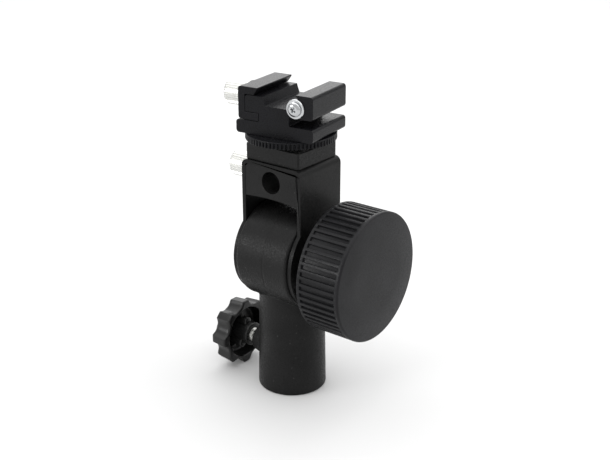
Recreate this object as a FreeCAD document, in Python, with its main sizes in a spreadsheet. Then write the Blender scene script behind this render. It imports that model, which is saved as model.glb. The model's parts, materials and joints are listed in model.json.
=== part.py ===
import FreeCAD, Part
import os
import re
import Sketcher

# Umbrella swivel bracket: a socket for a stand spigot, a tilting yoke locked by a big
# knob, an umbrella hole and a clamping shoe for a flash.  Millimetres, +Z up along the
# stand spigot, origin at the centre of the socket's mouth, +X along the tilt axis
# towards the big knob, -Y the face that the umbrella shaft enters.

V = FreeCAD.Vector
TURN_X, TURN_Y, TURN_Z = V(1, 0, 0), V(0, 1, 0), V(0, 0, 1)
ACROSS = (TURN_Y, 90)  # lays a piece made along Z along X
INWARD = (TURN_X, -90)  # lays a piece made along Z along Y

# Driving dimensions: alias, value, what it is.
DIMENSIONS = [
    ("socket_radius", 14.0, "outer radius of the stand column at its mouth"),
    ("column_top_radius", 13.1, "outer radius of the column under the barrel"),
    ("spigot_radius", 8.1, "bore for a 16 mm stand spigot"),
    ("spigot_depth", 36, "depth of that bore"),
    ("tilt_height", 58, "tilt axis above the socket's mouth"),
    ("barrel_radius", 19.8, "horizontal barrel on top of the column"),
    ("barrel_half", 12.5, "half length of the barrel"),
    ("barrel_round", 0.9, "rounding of the barrel's ends"),
    ("bolt_radius", 4, "M8 tilt bolt"),
    ("running_gap", 0.05, "radial clearance of every turning fit"),
    ("clearance", 0.1, "clearance where nothing turns"),
    ("overlap", 0.5, "how far joined features run into each other"),
    ("tip_room", 0.4, "room past the end of a stud"),
    ("pin_tip", 0.5, "bevel at a stud's tip"),
    ("disc_radius", 13.2, "friction discs in the barrel's ends"),
    ("disc_thick", 1, "thickness of a friction disc"),
    ("disc_sink", 0.9, "depth of the recess that holds a disc"),
    ("disc_room", 0.15, "room round a disc, inside and outside"),
    ("lock_height", 14.5, "axis of the spigot lock screw"),
    ("lock_screw_radius", 3, "M6 spigot lock screw"),
    ("lock_screw_tip", 8.3, "retracted tip, from the socket's axis"),
    ("lock_screw_length", 20, "length of the lock screw"),
    ("boss_start", 10.1, "start of the boss, inside the column's wall"),
    ("boss_radius", 6.4, "root of the boss round the lock screw"),
    ("boss_tip_radius", 5.4, "end of that boss"),
    ("boss_reach", 17.6, "end of that boss from the socket's axis"),
    ("star_reach", 32.6, "outer face of the star knob from the socket's axis"),
    ("star_depth", 8, "rim depth of the star knob"),
    ("star_radius", 14.45, "star knob over its lobes"),
    ("star_taper", 0.7, "how much smaller the outer face is"),
    ("star_hollow", 10.9, "radius of the hollow in the star knob"),
    ("star_floor", 2.6, "thickness of the star knob's outer wall"),
    ("star_notch_radius", 5.2, "radius of a scallop between two lobes"),
    ("star_notch_ring", 17.4, "circle on which the scallops are centred"),
    ("star_hub_radius", 5.6, "hub of the star knob"),
    ("star_hub_reach", 11.8, "end of the hub from the outer face"),
    ("star_edge", 0.7, "broken edges of the star knob"),
    ("star_rib_thick", 1.5, "ribs that stiffen the hub"),
    ("star_rib_low", 4.4, "height of those ribs at the rim"),
    ("star_rib_high", 8.4, "height of those ribs at the hub"),
    ("leg_half", 14.3, "outer half width of the yoke"),
    ("sheet_thick", 1.6, "sheet that the yoke is bent from"),
    ("yoke_half_depth", 12.7, "half depth of the yoke"),
    ("yoke_top", 97.65, "top face of the yoke"),
    ("yoke_bend", 2.6, "outer bend radius of the yoke"),
    ("leg_end_radius", 18.8, "round ends of the legs"),
    ("leg_end_room", 0.5, "room round the leg ends in the column's spot faces"),
    ("block_bottom", 83.05, "underside of the umbrella block"),
    ("umbrella_height", 90.4, "axis of the umbrella hole"),
    ("umbrella_radius", 4.4, "hole for an umbrella shaft"),
    ("thumb_radius", 2.5, "M5 umbrella thumb screw"),
    ("thumb_room", 0.5, "room round it where it passes the yoke"),
    ("thumb_tip", 4.8, "its retracted tip from the hole's axis"),
    ("thumb_length", 20.7, "length of its threaded stud"),
    ("thumb_head_radius", 5.5, "its knurled head"),
    ("thumb_head_length", 9.6, "length of that head"),
    ("thumb_head_end", 27.8, "outer end of that head from the centre plane"),
    ("thumb_head_floor", 2, "solid outer end of that head"),
    ("head_bevel", 0.8, "bevel at a thumb screw head's outer end"),
    ("head_edge", 0.4, "broken edge at its inner end"),
    ("fixing_radius", 2, "M4 screws through the umbrella block"),
    ("fixing_x", 8.4, "their place along X"),
    ("fixing_y", 7, "their place along Y"),
    ("fixing_head_radius", 3.5, "their heads"),
    ("fixing_head_depth", 4, "height of those heads"),
    ("fixing_length", 16, "length of their shanks"),
    ("fixing_sink", 0.3, "how far a head lies under the block's face"),
    ("fixing_hexagon", 1.7, "corner radius of the hexagon in a head"),
    ("post_half_width", 12.75, "half width of the stud block"),
    ("post_half_depth", 11.9, "half depth of the stud block"),
    ("post_top", 104.05, "top of the stud block"),
    ("stud_radius", 3.175, "quarter inch stud that carries the shoe"),
    ("stud_bottom", 98.6, "lower end of that stud"),
    ("stud_top", 115.4, "upper end of that stud"),
    ("ring_bottom", 105.7, "underside of the lock ring"),
    ("ring_thick", 2.65, "thickness of the lock ring"),
    ("ring_edge", 0.3, "broken edges of the lock ring"),
    ("ring_radius", 17.65, "lock ring over its serrations"),
    ("ring_notch_depth", 0.7, "depth of a serration"),
    ("ring_notch_width", 0.75, "width of a serration"),
    ("shoe_bottom", 108.5, "underside of the shoe"),
    ("shoe_half", 16.7, "half width of the shoe"),
    ("shoe_half_length", 12.5, "half length of the shoe"),
    ("plate_top", 113.65, "top of the shoe's base plate"),
    ("neck_half", 6.5, "half width of the neck above the plate"),
    ("rail_bottom", 117.1, "underside of the rails"),
    ("shelf_top", 123.4, "face that the flash foot rests on"),
    ("rail_top", 125.95, "top of the fixed rail"),
    ("rail_lip", 9.6, "edge of the fixed rail's lip"),
    ("rail_root", 11, "foot of the fixed rail's undercut"),
    ("channel_floor", 120.1, "floor of the relief between the shelves"),
    ("channel_left", 4.8, "left edge of that relief at the shelf"),
    ("channel_right", 7.2, "right edge of that relief at the shelf"),
    ("channel_draft", 1.15, "how much narrower the relief is at its floor"),
    ("tongue_end", 12.55, "left end of the tongue that the jaw wraps"),
    ("edge_round", 0.8, "broken edges of the shoe"),
    ("jaw_outer", 15.7, "outer face of the jaw"),
    ("jaw_wall", 12.7, "inner face of the jaw's wall"),
    ("jaw_gap", 0.2, "sliding gap round the jaw"),
    ("jaw_top", 126.5, "top of the jaw"),
    ("jaw_lip", 7.1, "edge of the jaw's lip"),
    ("jaw_root", 8.75, "foot of the jaw's undercut"),
    ("lip_edge", 0.5, "height of a lip's blunt edge"),
    ("jaw_screw_height", 120.3, "axis of the jaw's thumb screw"),
    ("jaw_screw_radius", 2, "M4 stud of that screw"),
    ("jaw_screw_tip", 5.6, "its tip when the jaw is closed"),
    ("jaw_screw_length", 19, "length of its stud"),
    ("jaw_collar_radius", 5.3, "black collar under its head"),
    ("jaw_collar_thick", 1.9, "thickness of that collar"),
    ("jaw_head_radius", 5.15, "its knurled head"),
    ("jaw_head_length", 10, "length of that head"),
    ("knurl_depth", 0.3, "depth of the knurl on both thumb screws"),
    ("knurl_width", 0.5, "width of a knurl groove"),
    ("stop_x", 9.4, "stop screw across the shoe"),
    ("stop_height", 120.8, "stop screw above the socket's mouth"),
    ("stop_radius", 2, "M4 stop screw"),
    ("stop_length", 9, "length of its shank"),
    ("stop_head_radius", 2.75, "pan head of the stop screw"),
    ("stop_head_height", 1.3, "height of that head"),
    ("stop_head_flat", 1.65, "radius of the flat on that head"),
    ("stop_head_curve", 2.5, "radius where its rounding steepens"),
    ("stop_washer_radius", 3.75, "washer under the stop screw"),
    ("stop_washer_thick", 0.6, "thickness of that washer"),
    ("cross_width", 0.8, "width of the cross recess"),
    ("cross_length", 2.9, "length of the cross recess"),
    ("cross_depth", 0.9, "depth of the cross recess"),
    ("knob_back", 22.1, "back rim of the tilt knob from the centre plane"),
    ("knob_length", 18.9, "length of the knob to the edge of its face"),
    ("knob_radius", 25.5, "tilt knob over its ribs"),
    ("knob_dome", 0.7, "rise of the knob's face"),
    ("knob_shoulder", 0.7, "rounding of the knob's face edge"),
    ("knob_hollow", 21.4, "radius of the hollow in the knob's back"),
    ("knob_floor", 14.5, "depth of that hollow"),
    ("knob_draft", 1, "how much wider the hollow is at its mouth"),
    ("knob_edge", 0.4, "broken edges of the knob's hub and rim"),
    ("knob_web_thick", 1.6, "webs between the hub and the rim"),
    ("knob_web_sink", 3, "how far the webs lie behind the mouth"),
    ("knob_hub_radius", 9, "hub of the knob"),
    ("knob_hub_reach", 6.1, "how far the hub stands out of the back"),
    ("knob_rim", 1.2, "smooth rim behind the ribs"),
    ("groove_width", 1.5, "groove between two ribs"),
    ("groove_depth", 0.9, "depth of such a groove"),
    ("groove_end", 16.6, "where the grooves run out"),
    ("insert_radius", 6, "threaded bush in the knob"),
    ("insert_length", 15, "length of that bush"),
    ("bolt_head_radius", 6.4, "hexagon head of the tilt bolt"),
    ("bolt_head_height", 5, "height of that head"),
    ("bolt_length", 45, "length of the tilt bolt's shank"),
    ("washer_radius", 8, "washer under the bolt's head"),
    ("washer_thick", 1.4, "thickness of that washer"),
    ("washer_edge", 0.2, "broken edges of every washer"),
    ("knob_washer_radius", 11, "washer between the leg and the knob"),
    ("knob_washer_thick", 1.5, "thickness of that washer"),
    ("shoe_yaw", 7.5, "degrees that the shoe is turned about the stud"),
]
STAR_LOBES = 8
STAR_RIBS = 3
STAR_TURN = 1.5  # lobes that the star knob is turned, from a scallop straight below its axis
KNOB_RIBS = 58
KNOB_WEBS = 6
RING_TEETH = 72
KNURL_TEETH = 32
HEXAGON = 6
NEAR = 0.001  # tolerance when edges are looked up by their place

doc = FreeCAD.newDocument("umbrella_swivel_bracket")
sheet = doc.addObject("Spreadsheet::Sheet", "Sheet")
for row, (alias, value, meaning) in enumerate(DIMENSIONS, start=1):
    sheet.set(f"A{row}", meaning)
    sheet.set(f"B{row}", str(value))
    sheet.setAlias(f"B{row}", alias)
doc.recompute()

bodies = []


# ---- helpers -------------------------------------------------------------------

def linked(formula):
    """A formula in dimension names, with each name pointing at the sheet."""
    return re.sub(r"[a-z_]+", lambda name: "Sheet." + name.group(0), formula)


def dim(formula):
    """The present value of a formula in dimension names."""
    return float(sheet.evalExpression(linked(formula)))


def new_body(label):
    body = doc.addObject("PartDesign::Body", label)
    body.Label = label
    bodies.append(body)
    return body


def origin_feature(body, role):
    return next(item for item in body.Origin.OriginFeatures if item.Role == role)


def new_sketch(body, plane, lift=None):
    """An empty sketch on one of the body's own planes, moved along its normal."""
    sketch = body.newObject("Sketcher::SketchObject", body.Label + "_sketch")
    sketch.AttachmentSupport = [(origin_feature(body, plane), "")]
    sketch.MapMode = "FlatFace"
    if lift:
        sketch.setExpression("AttachmentOffset.Base.z", linked(lift))
    return sketch


def fix_point(sketch, geometry, point, across, up):
    """Ties a point of a sketch to the sheet by its two coordinates."""
    for kind, formula in (("DistanceX", across), ("DistanceY", up)):
        rule = Sketcher.Constraint(kind, -1, 1, geometry, point, dim(formula))
        index = sketch.addConstraint(rule)
        sketch.setExpression(f"Constraints[{index}]", linked(formula))


def add_outline(sketch, corners):
    """A closed outline of straight edges through corners given as formulas."""
    places = [V(dim(across), dim(up), 0) for across, up in corners]
    count = len(corners)
    for index, place in enumerate(places):
        sketch.addGeometry(Part.LineSegment(place, places[(index + 1) % count]))
    for index in range(count):
        following = (index + 1) % count
        sketch.addConstraint(Sketcher.Constraint("Coincident", index, 2, following, 1))
    for index, (across, up) in enumerate(corners):
        fix_point(sketch, index, 1, across, up)


def add_circle(sketch, across, up, radius):
    centre = V(dim(across), dim(up), 0)
    index = sketch.addGeometry(Part.Circle(centre, V(0, 0, 1), dim(radius)))
    fix_point(sketch, index, 3, across, up)
    size = sketch.addConstraint(Sketcher.Constraint("Radius", index, dim(radius)))
    sketch.setExpression(f"Constraints[{size}]", linked(radius))


def rectangle(left, right, low, high):
    return [(left, low), (right, low), (right, high), (left, high)]


def extrude(body, sketch, length, kind="Pad", sides="Symmetric", backwards=False):
    """Pads or pockets a sketch, by default evenly to both sides of its plane."""
    feature = body.newObject("PartDesign::" + kind, f"{body.Label}_{kind.lower()}")
    feature.Profile = sketch
    feature.SideType = sides
    feature.Reversed = backwards
    feature.setExpression("Length", linked(length))
    return feature


def revolve(body, corners):
    """Turns a half profile of (radius, height) corners about the body's Z axis."""
    sketch = new_sketch(body, "XZ_Plane")
    add_outline(sketch, corners)
    feature = body.newObject("PartDesign::Revolution", body.Label + "_turning")
    feature.Profile = sketch
    feature.ReferenceAxis = (sketch, ["V_Axis"])
    feature.Angle = 360
    return feature


def bore(body, radius, length, start, turn=None, suffix="bore"):
    """Drills a round hole from start (three formulas) along Z or a turned axis."""
    hole = body.newObject("PartDesign::SubtractiveCylinder", f"{body.Label}_{suffix}")
    if turn:
        axis, angle = turn
        hole.Placement = FreeCAD.Placement(V(0, 0, 0), FreeCAD.Rotation(axis, angle))
    hole.setExpression("Radius", linked(radius))
    hole.setExpression("Height", linked(length))
    for letter, formula in zip("xyz", start):
        hole.setExpression(f"Placement.Base.{letter}", linked(formula))
    return hole


def repeat_round(body, feature, count):
    """Repeats a feature evenly about the body's Z axis."""
    doc.recompute()
    pattern = body.newObject("PartDesign::PolarPattern", body.Label + "_pattern")
    pattern.Originals = [feature]
    pattern.Axis = (origin_feature(body, "Z_Axis"), [""])
    pattern.Angle = 360
    pattern.Occurrences = count
    body.Tip = pattern
    doc.recompute()


def dress(body, kind, wanted, size):
    """Fillets or chamfers the edges of the present shape that wanted accepts."""
    doc.recompute()
    base = body.Tip
    names = [f"Edge{i}" for i, edge in enumerate(base.Shape.Edges, 1) if wanted(edge)]
    if not names:
        raise ValueError(f"{body.Label}: no edge to {kind.lower()}")
    feature = body.newObject("PartDesign::" + kind, f"{body.Label}_{kind.lower()}")
    feature.Base = (base, names)
    feature.setExpression("Radius" if kind == "Fillet" else "Size", linked(size))
    doc.recompute()


def cut_check(body, feature, action):
    """Makes sure that a cutting feature has really taken material away."""
    doc.recompute()
    before = feature.BaseFeature.Shape.Volume if feature.BaseFeature else 0
    if feature.Shape.Volume >= before:
        raise ValueError(f"{body.Label}: {action} removed nothing")


def along(axis, corners):
    """True for a straight edge parallel to axis that runs through one of the corners."""
    def test(edge):
        if not isinstance(edge.Curve, Part.Line):
            return False
        if abs(abs(edge.Curve.Direction.dot(axis)) - 1) > NEAR:
            return False
        middle = edge.CenterOfMass
        flat = middle - axis * middle.dot(axis)
        return any((flat - corner).Length < NEAR for corner in corners)
    return test


def circle_at(axis, radius, heights):
    """True for a circle of this radius about axis at one of the given heights."""
    def test(edge):
        curve = edge.Curve
        if not isinstance(curve, Part.Circle) or abs(curve.Radius - radius) > NEAR:
            return False
        height = curve.Center.dot(axis)
        return any(abs(height - wanted) < NEAR for wanted in heights)
    return test


def put(body, x=0.0, y=0.0, z=0.0, turn=None):
    """Places a body built in its own frame; turn is an (axis, degrees) pair."""
    rotation = FreeCAD.Rotation(*turn) if turn else FreeCAD.Rotation()
    body.Placement = FreeCAD.Placement(V(x, y, z), rotation)


def put_on_shoe(body, x=0.0, y=0.0, z=0.0, turn=None):
    """The same for a piece of the shoe, which is turned about the stud."""
    put(body, x, y, z, turn)
    yaw = FreeCAD.Placement(V(0, 0, 0), FreeCAD.Rotation(TURN_Z, dim("shoe_yaw")))
    body.Placement = yaw.multiply(body.Placement)


# ---- stand socket and its lock -------------------------------------------------

def make_stand_socket():
    body = new_body("stand_socket")
    revolve(body, [("0", "0"), ("socket_radius", "0"),
                   ("column_top_radius", "tilt_height - barrel_radius / 2"),
                   ("0", "tilt_height - barrel_radius / 2")])
    barrel = new_sketch(body, "YZ_Plane")
    add_circle(barrel, "0", "tilt_height", "barrel_radius")
    extrude(body, barrel, "barrel_half * 2")
    boss = body.newObject("PartDesign::AdditiveCone", "stand_socket_boss")
    boss.Placement = FreeCAD.Placement(V(0, 0, 0), FreeCAD.Rotation(TURN_Y, -90))
    boss.setExpression("Placement.Base.x", linked("0 - boss_start"))
    boss.setExpression("Placement.Base.z", linked("lock_height"))
    boss.setExpression("Radius1", linked("boss_radius"))
    boss.setExpression("Radius2", linked("boss_tip_radius"))
    boss.setExpression("Height", linked("boss_reach - boss_start"))
    ends = circle_at(TURN_X, dim("barrel_radius"), [-dim("barrel_half"), dim("barrel_half")])
    dress(body, "Fillet", ends, "barrel_round")
    for side, start in (("left", "0 - leg_half"), ("right", "barrel_half")):
        bore(body, "leg_end_radius + leg_end_room", "leg_half - barrel_half",
             (start, "0", "tilt_height"), ACROSS, side + "_spot_face")
    for side, start in (("left", "0 - barrel_half"), ("right", "barrel_half - disc_sink")):
        bore(body, "disc_radius + disc_room", "disc_sink", (start, "0", "tilt_height"),
             ACROSS, side + "_recess")
    bore(body, "bolt_radius + running_gap", "barrel_half * 2",
         ("0 - barrel_half", "0", "tilt_height"), ACROSS, "pivot")
    bore(body, "lock_screw_radius + running_gap", "boss_reach",
         ("0 - boss_reach", "0", "lock_height"), ACROSS, "lock_hole")
    spigot = bore(body, "spigot_radius", "spigot_depth", ("0", "0", "0"), None, "spigot")
    cut_check(body, spigot, "the spigot bore")


def make_friction_discs():
    """Two fibre discs, one in each end of the barrel, in one node."""
    discs = []
    for start in ("barrel_half - disc_sink", "disc_sink - barrel_half - disc_thick"):
        blank = doc.addObject("Part::Cylinder", "disc_blank")
        hole = doc.addObject("Part::Cylinder", "disc_hole")
        for item, radius in ((blank, "disc_radius"), (hole, "bolt_radius + disc_room")):
            item.setExpression("Radius", linked(radius))
            item.setExpression("Height", linked("disc_thick"))
            item.Placement = FreeCAD.Placement(V(dim(start), 0, dim("tilt_height")),
                                               FreeCAD.Rotation(*ACROSS))
        disc = doc.addObject("Part::Cut", "disc")
        disc.Base = blank
        disc.Tool = hole
        discs.append(disc)
    pair = doc.addObject("Part::Compound", "friction_discs")
    pair.Links = discs
    pair.Label = "friction_discs"
    bodies.append(pair)


def make_star_knob():
    body = new_body("star_knob")
    narrow = "star_radius - star_taper"
    revolve(body, [("0", "0"), (narrow + " - star_edge", "0"), (narrow, "star_edge"),
                   ("star_radius", "star_depth - star_edge"),
                   ("star_radius - star_edge", "star_depth"),
                   ("star_hollow", "star_depth"), ("star_hollow - star_taper", "star_floor"),
                   ("star_hub_radius", "star_floor"),
                   ("star_hub_radius - star_taper", "star_hub_reach"), ("0", "star_hub_reach")])
    notch = new_sketch(body, "XY_Plane")
    add_circle(notch, "star_notch_ring", "0", "star_notch_radius")
    cut = extrude(body, notch, "star_depth * 4", "Pocket")
    cut_check(body, cut, "the scallop")
    repeat_round(body, cut, STAR_LOBES)
    rib = new_sketch(body, "XZ_Plane")
    inner, outer = "star_hub_radius - overlap * 2", "star_hollow + overlap"
    add_outline(rib, [(inner, "star_floor - overlap"), (outer, "star_floor - overlap"),
                      (outer, "star_rib_low"), (inner, "star_rib_high")])
    repeat_round(body, extrude(body, rib, "star_rib_thick"), STAR_RIBS)
    bore(body, "lock_screw_radius + running_gap", "star_hub_reach",
         ("0", "0", "star_floor"), None, "hole")
    put(body, -dim("star_reach"), 0, dim("lock_height"), ACROSS)
    turned = FreeCAD.Rotation(TURN_Z, 360 / STAR_LOBES * STAR_TURN)
    body.Placement = body.Placement.multiply(FreeCAD.Placement(V(0, 0, 0), turned))


def turned_piece(label, corners):
    body = new_body(label)
    revolve(body, corners)
    return body


def pin_profile(radius, length):
    """Half profile of a plain pin from height 0, bevelled at its far end."""
    return [("0", "0"), (radius, "0"), (radius, f"{length} - pin_tip"),
            (f"{radius} - pin_tip", length), ("0", length)]


def ring_profile(inner, outer, thick, edge="washer_edge"):
    """Half profile of a washer with broken outer edges."""
    return [(inner, "0"), (f"{outer} - {edge}", "0"), (outer, edge),
            (outer, f"{thick} - {edge}"), (f"{outer} - {edge}", thick), (inner, thick)]


def make_star_knob_screw():
    body = turned_piece("star_knob_screw", pin_profile("lock_screw_radius", "lock_screw_length"))
    put(body, -dim("lock_screw_tip + lock_screw_length"), 0, dim("lock_height"), ACROSS)


# ---- yoke, umbrella block and stud block ---------------------------------------

def make_yoke_bracket():
    body = new_body("yoke_bracket")
    arch = new_sketch(body, "XZ_Plane")
    inner = "leg_half - sheet_thick"
    add_outline(arch, [("0 - leg_half", "tilt_height"), ("0 - leg_half", "yoke_top"),
                       ("leg_half", "yoke_top"), ("leg_half", "tilt_height"),
                       (inner, "tilt_height"), (inner, "yoke_top - sheet_thick"),
                       ("sheet_thick - leg_half", "yoke_top - sheet_thick"),
                       ("sheet_thick - leg_half", "tilt_height")])
    extrude(body, arch, "yoke_half_depth * 2")
    half, top, thick = dim("leg_half"), dim("yoke_top"), dim("sheet_thick")
    dress(body, "Fillet", along(TURN_Y, [V(-half, 0, top), V(half, 0, top)]), "yoke_bend")
    inner_corners = [V(side * (half - thick), 0, top - thick) for side in (-1, 1)]
    dress(body, "Fillet", along(TURN_Y, inner_corners), "yoke_bend - sheet_thick")
    for start, backwards in (("leg_half - sheet_thick", False), ("sheet_thick - leg_half", True)):
        end = new_sketch(body, "YZ_Plane", start)
        add_circle(end, "0", "tilt_height", "leg_end_radius")
        extrude(body, end, "sheet_thick", sides="One side", backwards=backwards)
    bore(body, "bolt_radius + clearance", "leg_half * 2", ("0 - leg_half", "0", "tilt_height"),
         ACROSS, "pivot")
    bore(body, "thumb_radius + thumb_room", "sheet_thick * 2",
         ("0 - leg_half - sheet_thick / 2", "0", "umbrella_height"), ACROSS, "thumb_hole")
    for side in (-1, 1):
        hole = bore(body, "fixing_radius + clearance", "sheet_thick * 2",
                    (f"fixing_x * {side}", f"fixing_y * {side}", "yoke_top - sheet_thick * 1.5"),
                    None, "fixing_hole")
        cut_check(body, hole, "a fixing hole")


def make_umbrella_block():
    body = new_body("umbrella_block")
    front = new_sketch(body, "XZ_Plane")
    side = "(leg_half - sheet_thick - running_gap)"
    ceiling = "yoke_top - sheet_thick"
    add_outline(front, rectangle("0 - " + side, side, "block_bottom", ceiling))
    extrude(body, front, "(yoke_half_depth - clearance) * 2")
    reach, top = dim(side), dim(ceiling)
    dress(body, "Chamfer", along(TURN_Y, [V(-reach, 0, top), V(reach, 0, top)]), "yoke_bend / 2")
    low, depth = dim("block_bottom"), dim("yoke_half_depth - clearance")
    dress(body, "Chamfer", along(TURN_X, [V(0, -depth, low), V(0, depth, low)]), "edge_round")
    bore(body, "umbrella_radius", "yoke_half_depth * 2",
         ("0", "0 - yoke_half_depth", "umbrella_height"), INWARD, "umbrella_hole")
    bore(body, "thumb_radius + running_gap", "leg_half", ("0 - leg_half", "0", "umbrella_height"),
         ACROSS, "thumb_hole")
    for hand in (-1, 1):
        place = (f"fixing_x * {hand}", f"fixing_y * {hand}", "block_bottom")
        bore(body, "fixing_radius + clearance", "yoke_top", place, None, "fixing_hole")
        sink = bore(body, "fixing_head_radius + clearance", "fixing_head_depth + fixing_sink",
                    place, None, "sink")
        cut_check(body, sink, "a counterbore")


def make_stud_block():
    body = new_body("stud_block")
    plan = new_sketch(body, "XY_Plane", "yoke_top")
    add_outline(plan, rectangle("0 - post_half_width", "post_half_width",
                                "0 - post_half_depth", "post_half_depth"))
    extrude(body, plan, "post_top - yoke_top", sides="One side")
    wide, deep = dim("post_half_width"), dim("post_half_depth")
    corners = [V(i * wide, j * deep, 0) for i in (-1, 1) for j in (-1, 1)]
    dress(body, "Fillet", along(TURN_Z, corners), "edge_round")
    top = dim("post_top")
    dress(body, "Chamfer", lambda edge: edge.BoundBox.ZMin > top - NEAR, "edge_round / 2")
    bore(body, "stud_radius", "post_top - stud_bottom", ("0", "0", "stud_bottom"), None, "stud_hole")
    screw_end = "block_bottom + fixing_sink + fixing_head_depth + fixing_length"
    for side in (-1, 1):
        hole = bore(body, "fixing_radius", screw_end + " + tip_room - yoke_top",
                    (f"fixing_x * {side}", f"fixing_y * {side}", "yoke_top"), None, "fixing_hole")
        cut_check(body, hole, "a fixing hole")


def round_bar(name, radius, height, foot):
    bar = doc.addObject("Part::Cylinder", name)
    bar.setExpression("Radius", linked(radius))
    bar.setExpression("Height", linked(height))
    bar.Placement.Base = foot
    return bar


def make_block_screws():
    """Two socket head screws that hold the two blocks to the yoke, in one node."""
    screws = []
    for side in (-1, 1):
        foot = V(dim("fixing_x") * side, dim("fixing_y") * side, dim("block_bottom + fixing_sink"))
        head = round_bar("block_screw_head", "fixing_head_radius", "fixing_head_depth", foot)
        shank = round_bar("block_screw_shank", "fixing_radius",
                          "fixing_head_depth + fixing_length", foot)
        hexagon = doc.addObject("Part::Prism", "block_screw_hexagon")
        hexagon.Polygon = HEXAGON
        hexagon.setExpression("Circumradius", linked("fixing_hexagon"))
        hexagon.setExpression("Height", linked("fixing_head_depth / 2"))
        hexagon.Placement.Base = foot
        solid = doc.addObject("Part::Fuse", "block_screw_solid")
        solid.Base = head
        solid.Tool = shank
        screw = doc.addObject("Part::Cut", "block_screw")
        screw.Base = solid
        screw.Tool = hexagon
        screws.append(screw)
    group = doc.addObject("Part::Compound", "block_screws")
    group.Links = screws
    group.Label = "block_screws"
    bodies.append(group)


def make_shoe_stud():
    body = turned_piece("shoe_stud", pin_profile("stud_radius", "(stud_top - stud_bottom)"))
    put(body, 0, 0, dim("stud_bottom"))


def make_lock_ring():
    body = turned_piece("lock_ring", ring_profile("stud_radius + running_gap", "ring_radius",
                                                  "ring_thick", "ring_edge"))
    notch = new_sketch(body, "XY_Plane")
    half = "ring_notch_width / 2"
    outside = "ring_radius + overlap / 2"
    add_outline(notch, [("ring_radius - ring_notch_depth", "0"), (outside, "0 - " + half),
                        (outside, half)])
    cut = extrude(body, notch, "ring_thick * 3", "Pocket")
    cut_check(body, cut, "a serration")
    repeat_round(body, cut, RING_TEETH)
    put(body, 0, 0, dim("ring_bottom"))


# ---- umbrella thumb screw ------------------------------------------------------

def make_thumb_head(label, radius, length):
    """A straight knurled head with a bevelled outer end, from height 0 upwards."""
    body = turned_piece(label, [("0", "0"), (radius + " - head_bevel", "0"), (radius, "head_bevel"),
                                (radius, length + " - head_edge"),
                                (radius + " - head_edge", length), ("0", length)])
    groove = new_sketch(body, "XY_Plane")
    half = "knurl_width / 2"
    outside = radius + " + clearance"
    add_outline(groove, [(radius + " - knurl_depth", "0"), (outside, "0 - " + half), (outside, half)])
    cut = extrude(body, groove, length + " * 3", "Pocket")
    cut_check(body, cut, "a knurl groove")
    repeat_round(body, cut, KNURL_TEETH)
    return body


def make_umbrella_thumb_screw():
    head = make_thumb_head("umbrella_screw_head", "thumb_head_radius", "thumb_head_length")
    bore(head, "thumb_radius + running_gap", "thumb_head_length", ("0", "0", "thumb_head_floor"),
         None, "socket")
    put(head, -dim("thumb_head_end"), 0, dim("umbrella_height"), ACROSS)
    stud = turned_piece("umbrella_screw_stud", pin_profile("thumb_radius", "thumb_length"))
    put(stud, -dim("thumb_tip + thumb_length"), 0, dim("umbrella_height"), ACROSS)


# ---- flash shoe ----------------------------------------------------------------

def make_shoe_base():
    body = new_body("shoe_base")
    side = new_sketch(body, "XZ_Plane")
    add_outline(side, [
        ("0 - shoe_half", "shoe_bottom"), ("shoe_half", "shoe_bottom"),
        ("shoe_half", "plate_top"), ("neck_half", "plate_top"),
        ("neck_half", "rail_bottom"), ("shoe_half", "rail_bottom"),
        ("shoe_half", "rail_top"), ("rail_lip", "rail_top"),
        ("rail_lip", "rail_top - lip_edge"), ("rail_root", "shelf_top"),
        ("channel_right", "shelf_top"), ("channel_right - channel_draft", "channel_floor"),
        ("channel_draft - channel_left", "channel_floor"), ("0 - channel_left", "shelf_top"),
        ("0 - tongue_end", "shelf_top"), ("0 - tongue_end", "rail_bottom"),
        ("0 - neck_half", "rail_bottom"), ("0 - neck_half", "plate_top"),
        ("0 - shoe_half", "plate_top")])
    extrude(body, side, "shoe_half_length * 2")
    half = dim("shoe_half")
    low, plate = dim("shoe_bottom"), dim("plate_top")
    rail, top = dim("rail_bottom"), dim("rail_top")
    corners = [V(-half, 0, low), V(half, 0, low), V(-half, 0, plate), V(half, 0, plate),
               V(half, 0, rail), V(half, 0, top), V(-dim("tongue_end"), 0, dim("shelf_top"))]
    dress(body, "Fillet", along(TURN_Y, corners), "edge_round")
    bore(body, "stud_radius + running_gap", "stud_top + tip_room - shoe_bottom",
         ("0", "0", "shoe_bottom"), None, "stud_hole")
    bore(body, "jaw_screw_radius + running_gap", "tongue_end - jaw_screw_tip + tip_room",
         ("0 - tongue_end", "0", "jaw_screw_height"), ACROSS, "jaw_screw_hole")
    stop = bore(body, "stop_radius", "stop_length - stop_washer_thick + tip_room",
                ("stop_x", "0 - shoe_half_length", "stop_height"), INWARD, "stop_hole")
    cut_check(body, stop, "the stop screw's hole")
    put_on_shoe(body)


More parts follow.
